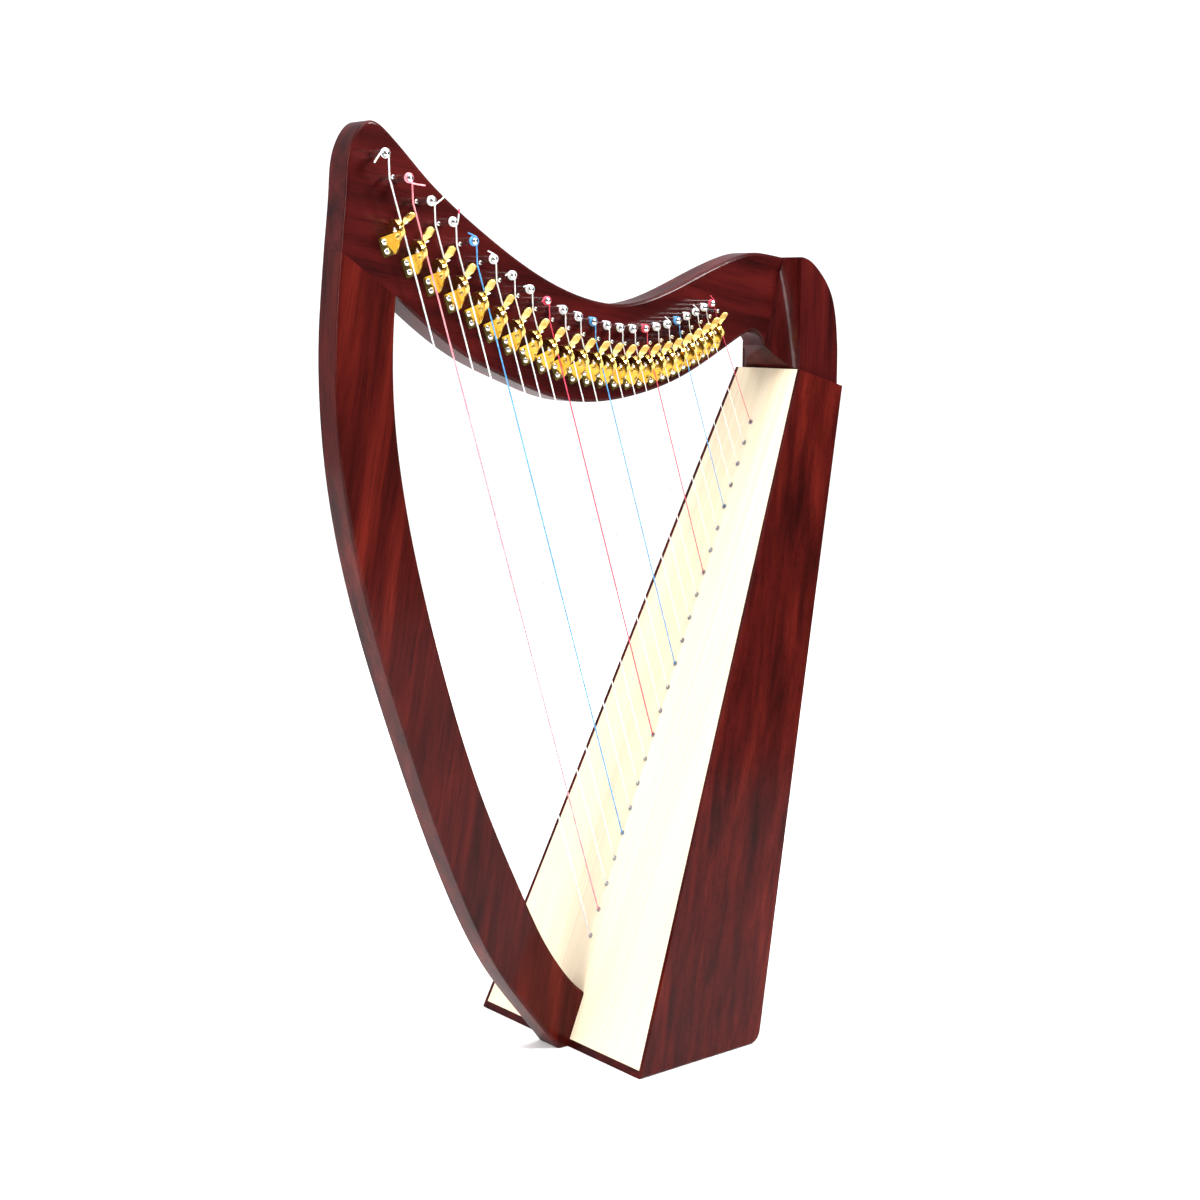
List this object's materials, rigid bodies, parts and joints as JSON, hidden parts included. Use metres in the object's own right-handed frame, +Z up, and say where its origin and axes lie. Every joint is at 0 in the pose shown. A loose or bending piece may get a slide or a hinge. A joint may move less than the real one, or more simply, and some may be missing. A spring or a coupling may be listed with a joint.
{
  "type": "lever harp",
  "caption": "Small lever harp with a curved pillar, an arched neck carrying flip-up sharping levers and turning tuning pins, taut strings and a hollow soundbox that stands on its base.",
  "frame": {"origin": "middle of the soundbox's flat base, on the floor", "axes": "+Z up, +X from the pillar to the back of the soundbox, the strings and levers on the -Y side of the neck"},
  "size_m": [0.6059, 0.2694, 0.9171],
  "materials": {
    "pillar_wood": "red-brown hardwood, satin lacquer",
    "neck_wood": "red-brown hardwood, satin lacquer",
    "box_wood": "red-brown hardwood, satin lacquer",
    "base_wood": "dark hardwood, satin lacquer",
    "board_wood": "pale spruce, satin",
    "brace_wood": "bare spruce",
    "grommet": "smooth",
    "string_plain": "clear nylon, smooth",
    "string_red": "red nylon, smooth",
    "string_blue": "dark blue nylon, smooth",
    "bridge_pin": "polished",
    "lever_brass": "polished",
    "fastener": "polished",
    "tuning_pin": "polished"
  },
  "bodies": {
    "frame": {"side_panel_left": "box_wood", "side_panel_right": "box_wood", "base_plate": "base_wood", "soundboard": "board_wood", "back_panel": "box_wood", "soundbox_bracing": "brace_wood", "shoulder_block": "neck_wood", "neck": "neck_wood", "pillar": "pillar_wood", "string_grommets": "grommet", "strings": "string_plain", "bridge_pins": "bridge_pin", "lever_brackets": "lever_brass", "lever_fasteners": "fastener"},
    "lever_01": {"lever_01": "lever_brass"},
    "lever_02": {"lever_02": "lever_brass"},
    "lever_03": {"lever_03": "lever_brass"},
    "lever_04": {"lever_04": "lever_brass"},
    "lever_05": {"lever_05": "lever_brass"},
    "lever_06": {"lever_06": "lever_brass"},
    "lever_07": {"lever_07": "lever_brass"},
    "lever_08": {"lever_08": "lever_brass"},
    "lever_09": {"lever_09": "lever_brass"},
    "lever_10": {"lever_10": "lever_brass"},
    "lever_11": {"lever_11": "lever_brass"},
    "lever_12": {"lever_12": "lever_brass"},
    "lever_13": {"lever_13": "lever_brass"},
    "lever_14": {"lever_14": "lever_brass"},
    "lever_15": {"lever_15": "lever_brass"},
    "lever_16": {"lever_16": "lever_brass"},
    "lever_17": {"lever_17": "lever_brass"},
    "lever_18": {"lever_18": "lever_brass"},
    "lever_19": {"lever_19": "lever_brass"},
    "lever_20": {"lever_20": "lever_brass"},
    "lever_21": {"lever_21": "lever_brass"},
    "lever_22": {"lever_22": "lever_brass"},
    "lever_23": {"lever_23": "lever_brass"},
    "tuning_pin_01": {"tuning_pin_01": "tuning_pin"},
    "tuning_pin_02": {"tuning_pin_02": "tuning_pin"},
    "tuning_pin_03": {"tuning_pin_03": "tuning_pin"},
    "tuning_pin_04": {"tuning_pin_04": "tuning_pin"},
    "tuning_pin_05": {"tuning_pin_05": "tuning_pin"},
    "tuning_pin_06": {"tuning_pin_06": "tuning_pin"},
    "tuning_pin_07": {"tuning_pin_07": "tuning_pin"},
    "tuning_pin_08": {"tuning_pin_08": "tuning_pin"},
    "tuning_pin_09": {"tuning_pin_09": "tuning_pin"},
    "tuning_pin_10": {"tuning_pin_10": "tuning_pin"},
    "tuning_pin_11": {"tuning_pin_11": "tuning_pin"},
    "tuning_pin_12": {"tuning_pin_12": "tuning_pin"},
    "tuning_pin_13": {"tuning_pin_13": "tuning_pin"},
    "tuning_pin_14": {"tuning_pin_14": "tuning_pin"},
    "tuning_pin_15": {"tuning_pin_15": "tuning_pin"},
    "tuning_pin_16": {"tuning_pin_16": "tuning_pin"},
    "tuning_pin_17": {"tuning_pin_17": "tuning_pin"},
    "tuning_pin_18": {"tuning_pin_18": "tuning_pin"},
    "tuning_pin_19": {"tuning_pin_19": "tuning_pin"},
    "tuning_pin_20": {"tuning_pin_20": "tuning_pin"},
    "tuning_pin_21": {"tuning_pin_21": "tuning_pin"},
    "tuning_pin_22": {"tuning_pin_22": "tuning_pin"},
    "tuning_pin_23": {"tuning_pin_23": "tuning_pin"}
  },
  "joints": [
    {"name": "lever_01_flip", "type": "hinge", "parent": "frame", "child": "lever_01", "pos_m": [-0.2878, -0.0285, 0.82049], "axis": [0.9469, 0, 0.3215], "range_deg": [0, 75]},
    {"name": "lever_02_flip", "type": "hinge", "parent": "frame", "child": "lever_02", "pos_m": [-0.26381, -0.0285, 0.80236], "axis": [0.9463, 0, 0.3234], "range_deg": [0, 90]},
    {"name": "lever_03_flip", "type": "hinge", "parent": "frame", "child": "lever_03", "pos_m": [-0.24047, -0.0285, 0.78562], "axis": [0.9455, 0, 0.3256], "range_deg": [0, 90]},
    {"name": "lever_04_flip", "type": "hinge", "parent": "frame", "child": "lever_04", "pos_m": [-0.21778, -0.0285, 0.77017], "axis": [0.9446, 0, 0.3282], "range_deg": [0, 90]},
    {"name": "lever_05_flip", "type": "hinge", "parent": "frame", "child": "lever_05", "pos_m": [-0.19574, -0.0285, 0.75577], "axis": [0.9435, 0, 0.3314], "range_deg": [0, 90]},
    {"name": "lever_06_flip", "type": "hinge", "parent": "frame", "child": "lever_06", "pos_m": [-0.17435, -0.0285, 0.74228], "axis": [0.9421, 0, 0.3353], "range_deg": [0, 90]},
    {"name": "lever_07_flip", "type": "hinge", "parent": "frame", "child": "lever_07", "pos_m": [-0.15361, -0.0285, 0.73017], "axis": [0.9405, 0, 0.3398], "range_deg": [0, 90]},
    {"name": "lever_08_flip", "type": "hinge", "parent": "frame", "child": "lever_08", "pos_m": [-0.13353, -0.0285, 0.71986], "axis": [0.9387, 0, 0.3448], "range_deg": [0, 90]},
    {"name": "lever_09_flip", "type": "hinge", "parent": "frame", "child": "lever_09", "pos_m": [-0.11409, -0.0285, 0.71154], "axis": [0.9367, 0, 0.3501], "range_deg": [0, 90]},
    {"name": "lever_10_flip", "type": "hinge", "parent": "frame", "child": "lever_10", "pos_m": [-0.0953, -0.0285, 0.70527], "axis": [0.9346, 0, 0.3557], "range_deg": [0, 90]},
    {"name": "lever_11_flip", "type": "hinge", "parent": "frame", "child": "lever_11", "pos_m": [-0.07716, -0.0285, 0.70093], "axis": [0.9324, 0, 0.3615], "range_deg": [0, 90]},
    {"name": "lever_12_flip", "type": "hinge", "parent": "frame", "child": "lever_12", "pos_m": [-0.05967, -0.0285, 0.69814], "axis": [0.9298, 0, 0.3681], "range_deg": [0, 90]},
    {"name": "lever_13_flip", "type": "hinge", "parent": "frame", "child": "lever_13", "pos_m": [-0.04274, -0.0285, 0.6963], "axis": [0.9267, 0, 0.3759], "range_deg": [0, 90]},
    {"name": "lever_14_flip", "type": "hinge", "parent": "frame", "child": "lever_14", "pos_m": [-0.02597, -0.0285, 0.69446], "axis": [0.9229, 0, 0.385], "range_deg": [0, 90]},
    {"name": "lever_15_flip", "type": "hinge", "parent": "frame", "child": "lever_15", "pos_m": [-0.00986, -0.0285, 0.69401], "axis": [0.9185, 0, 0.3954], "range_deg": [0, 90]},
    {"name": "lever_16_flip", "type": "hinge", "parent": "frame", "child": "lever_16", "pos_m": [0.00561, -0.0285, 0.69498], "axis": [0.9132, 0, 0.4075], "range_deg": [0, 90]},
    {"name": "lever_17_flip", "type": "hinge", "parent": "frame", "child": "lever_17", "pos_m": [0.02043, -0.0285, 0.69722], "axis": [0.9069, 0, 0.4214], "range_deg": [0, 90]},
    {"name": "lever_18_flip", "type": "hinge", "parent": "frame", "child": "lever_18", "pos_m": [0.03461, -0.0285, 0.7006], "axis": [0.8991, 0, 0.4377], "range_deg": [0, 90]},
    {"name": "lever_19_flip", "type": "hinge", "parent": "frame", "child": "lever_19", "pos_m": [0.04818, -0.0285, 0.705], "axis": [0.8895, 0, 0.4569], "range_deg": [0, 90]},
    {"name": "lever_20_flip", "type": "hinge", "parent": "frame", "child": "lever_20", "pos_m": [0.06115, -0.0285, 0.71012], "axis": [0.8773, 0, 0.48], "range_deg": [0, 90]},
    {"name": "lever_21_flip", "type": "hinge", "parent": "frame", "child": "lever_21", "pos_m": [0.07356, -0.0285, 0.71561], "axis": [0.8611, 0, 0.5084], "range_deg": [0, 90]},
    {"name": "lever_22_flip", "type": "hinge", "parent": "frame", "child": "lever_22", "pos_m": [0.08546, -0.0285, 0.72124], "axis": [0.8392, 0, 0.5439], "range_deg": [0, 90]},
    {"name": "lever_23_flip", "type": "hinge", "parent": "frame", "child": "lever_23", "pos_m": [0.09688, -0.0285, 0.72685], "axis": [0.8088, 0, 0.5881], "range_deg": [0, 90]},
    {"name": "tuning_pin_01_turn", "type": "hinge", "parent": "frame", "child": "tuning_pin_01", "pos_m": [-0.30473, 0, 0.88684], "axis": [0, 1, 0], "continuous": true},
    {"name": "tuning_pin_02_turn", "type": "hinge", "parent": "frame", "child": "tuning_pin_02", "pos_m": [-0.27995, 0, 0.86597], "axis": [0, 1, 0], "continuous": true},
    {"name": "tuning_pin_03_turn", "type": "hinge", "parent": "frame", "child": "tuning_pin_03", "pos_m": [-0.25584, 0, 0.84651], "axis": [0, 1, 0], "continuous": true},
    {"name": "tuning_pin_04_turn", "type": "hinge", "parent": "frame", "child": "tuning_pin_04", "pos_m": [-0.23239, 0, 0.82837], "axis": [0, 1, 0], "continuous": true},
    {"name": "tuning_pin_05_turn", "type": "hinge", "parent": "frame", "child": "tuning_pin_05", "pos_m": [-0.20963, 0, 0.81131], "axis": [0, 1, 0], "continuous": true},
    {"name": "tuning_pin_06_turn", "type": "hinge", "parent": "frame", "child": "tuning_pin_06", "pos_m": [-0.18756, 0, 0.79518], "axis": [0, 1, 0], "continuous": true},
    {"name": "tuning_pin_07_turn", "type": "hinge", "parent": "frame", "child": "tuning_pin_07", "pos_m": [-0.16616, 0, 0.78049], "axis": [0, 1, 0], "continuous": true},
    {"name": "tuning_pin_08_turn", "type": "hinge", "parent": "frame", "child": "tuning_pin_08", "pos_m": [-0.14545, 0, 0.76769], "axis": [0, 1, 0], "continuous": true},
    {"name": "tuning_pin_09_turn", "type": "hinge", "parent": "frame", "child": "tuning_pin_09", "pos_m": [-0.12541, 0, 0.75699], "axis": [0, 1, 0], "continuous": true},
    {"name": "tuning_pin_10_turn", "type": "hinge", "parent": "frame", "child": "tuning_pin_10", "pos_m": [-0.10605, 0, 0.74843], "axis": [0, 1, 0], "continuous": true},
    {"name": "tuning_pin_11_turn", "type": "hinge", "parent": "frame", "child": "tuning_pin_11", "pos_m": [-0.08737, 0, 0.74191], "axis": [0, 1, 0], "continuous": true},
    {"name": "tuning_pin_12_turn", "type": "hinge", "parent": "frame", "child": "tuning_pin_12", "pos_m": [-0.06936, 0, 0.73701], "axis": [0, 1, 0], "continuous": true},
    {"name": "tuning_pin_13_turn", "type": "hinge", "parent": "frame", "child": "tuning_pin_13", "pos_m": [-0.05205, 0, 0.73334], "axis": [0, 1, 0], "continuous": true},
    {"name": "tuning_pin_14_turn", "type": "hinge", "parent": "frame", "child": "tuning_pin_14", "pos_m": [-0.03542, 0, 0.73089], "axis": [0, 1, 0], "continuous": true},
    {"name": "tuning_pin_15_turn", "type": "hinge", "parent": "frame", "child": "tuning_pin_15", "pos_m": [-0.01949, 0, 0.72978], "axis": [0, 1, 0], "continuous": true},
    {"name": "tuning_pin_16_turn", "type": "hinge", "parent": "frame", "child": "tuning_pin_16", "pos_m": [-0.00424, 0, 0.73005], "axis": [0, 1, 0], "continuous": true},
    {"name": "tuning_pin_17_turn", "type": "hinge", "parent": "frame", "child": "tuning_pin_17", "pos_m": [0.01032, 0, 0.73155], "axis": [0, 1, 0], "continuous": true},
    {"name": "tuning_pin_18_turn", "type": "hinge", "parent": "frame", "child": "tuning_pin_18", "pos_m": [0.02418, 0, 0.73414], "axis": [0, 1, 0], "continuous": true},
    {"name": "tuning_pin_19_turn", "type": "hinge", "parent": "frame", "child": "tuning_pin_19", "pos_m": [0.03735, 0, 0.73769], "axis": [0, 1, 0], "continuous": true},
    {"name": "tuning_pin_20_turn", "type": "hinge", "parent": "frame", "child": "tuning_pin_20", "pos_m": [0.04982, 0, 0.74188], "axis": [0, 1, 0], "continuous": true},
    {"name": "tuning_pin_21_turn", "type": "hinge", "parent": "frame", "child": "tuning_pin_21", "pos_m": [0.06158, 0, 0.74634], "axis": [0, 1, 0], "continuous": true},
    {"name": "tuning_pin_22_turn", "type": "hinge", "parent": "frame", "child": "tuning_pin_22", "pos_m": [0.07262, 0, 0.7508], "axis": [0, 1, 0], "continuous": true},
    {"name": "tuning_pin_23_turn", "type": "hinge", "parent": "frame", "child": "tuning_pin_23", "pos_m": [0.08294, 0, 0.75504], "axis": [0, 1, 0], "continuous": true}
  ]
}
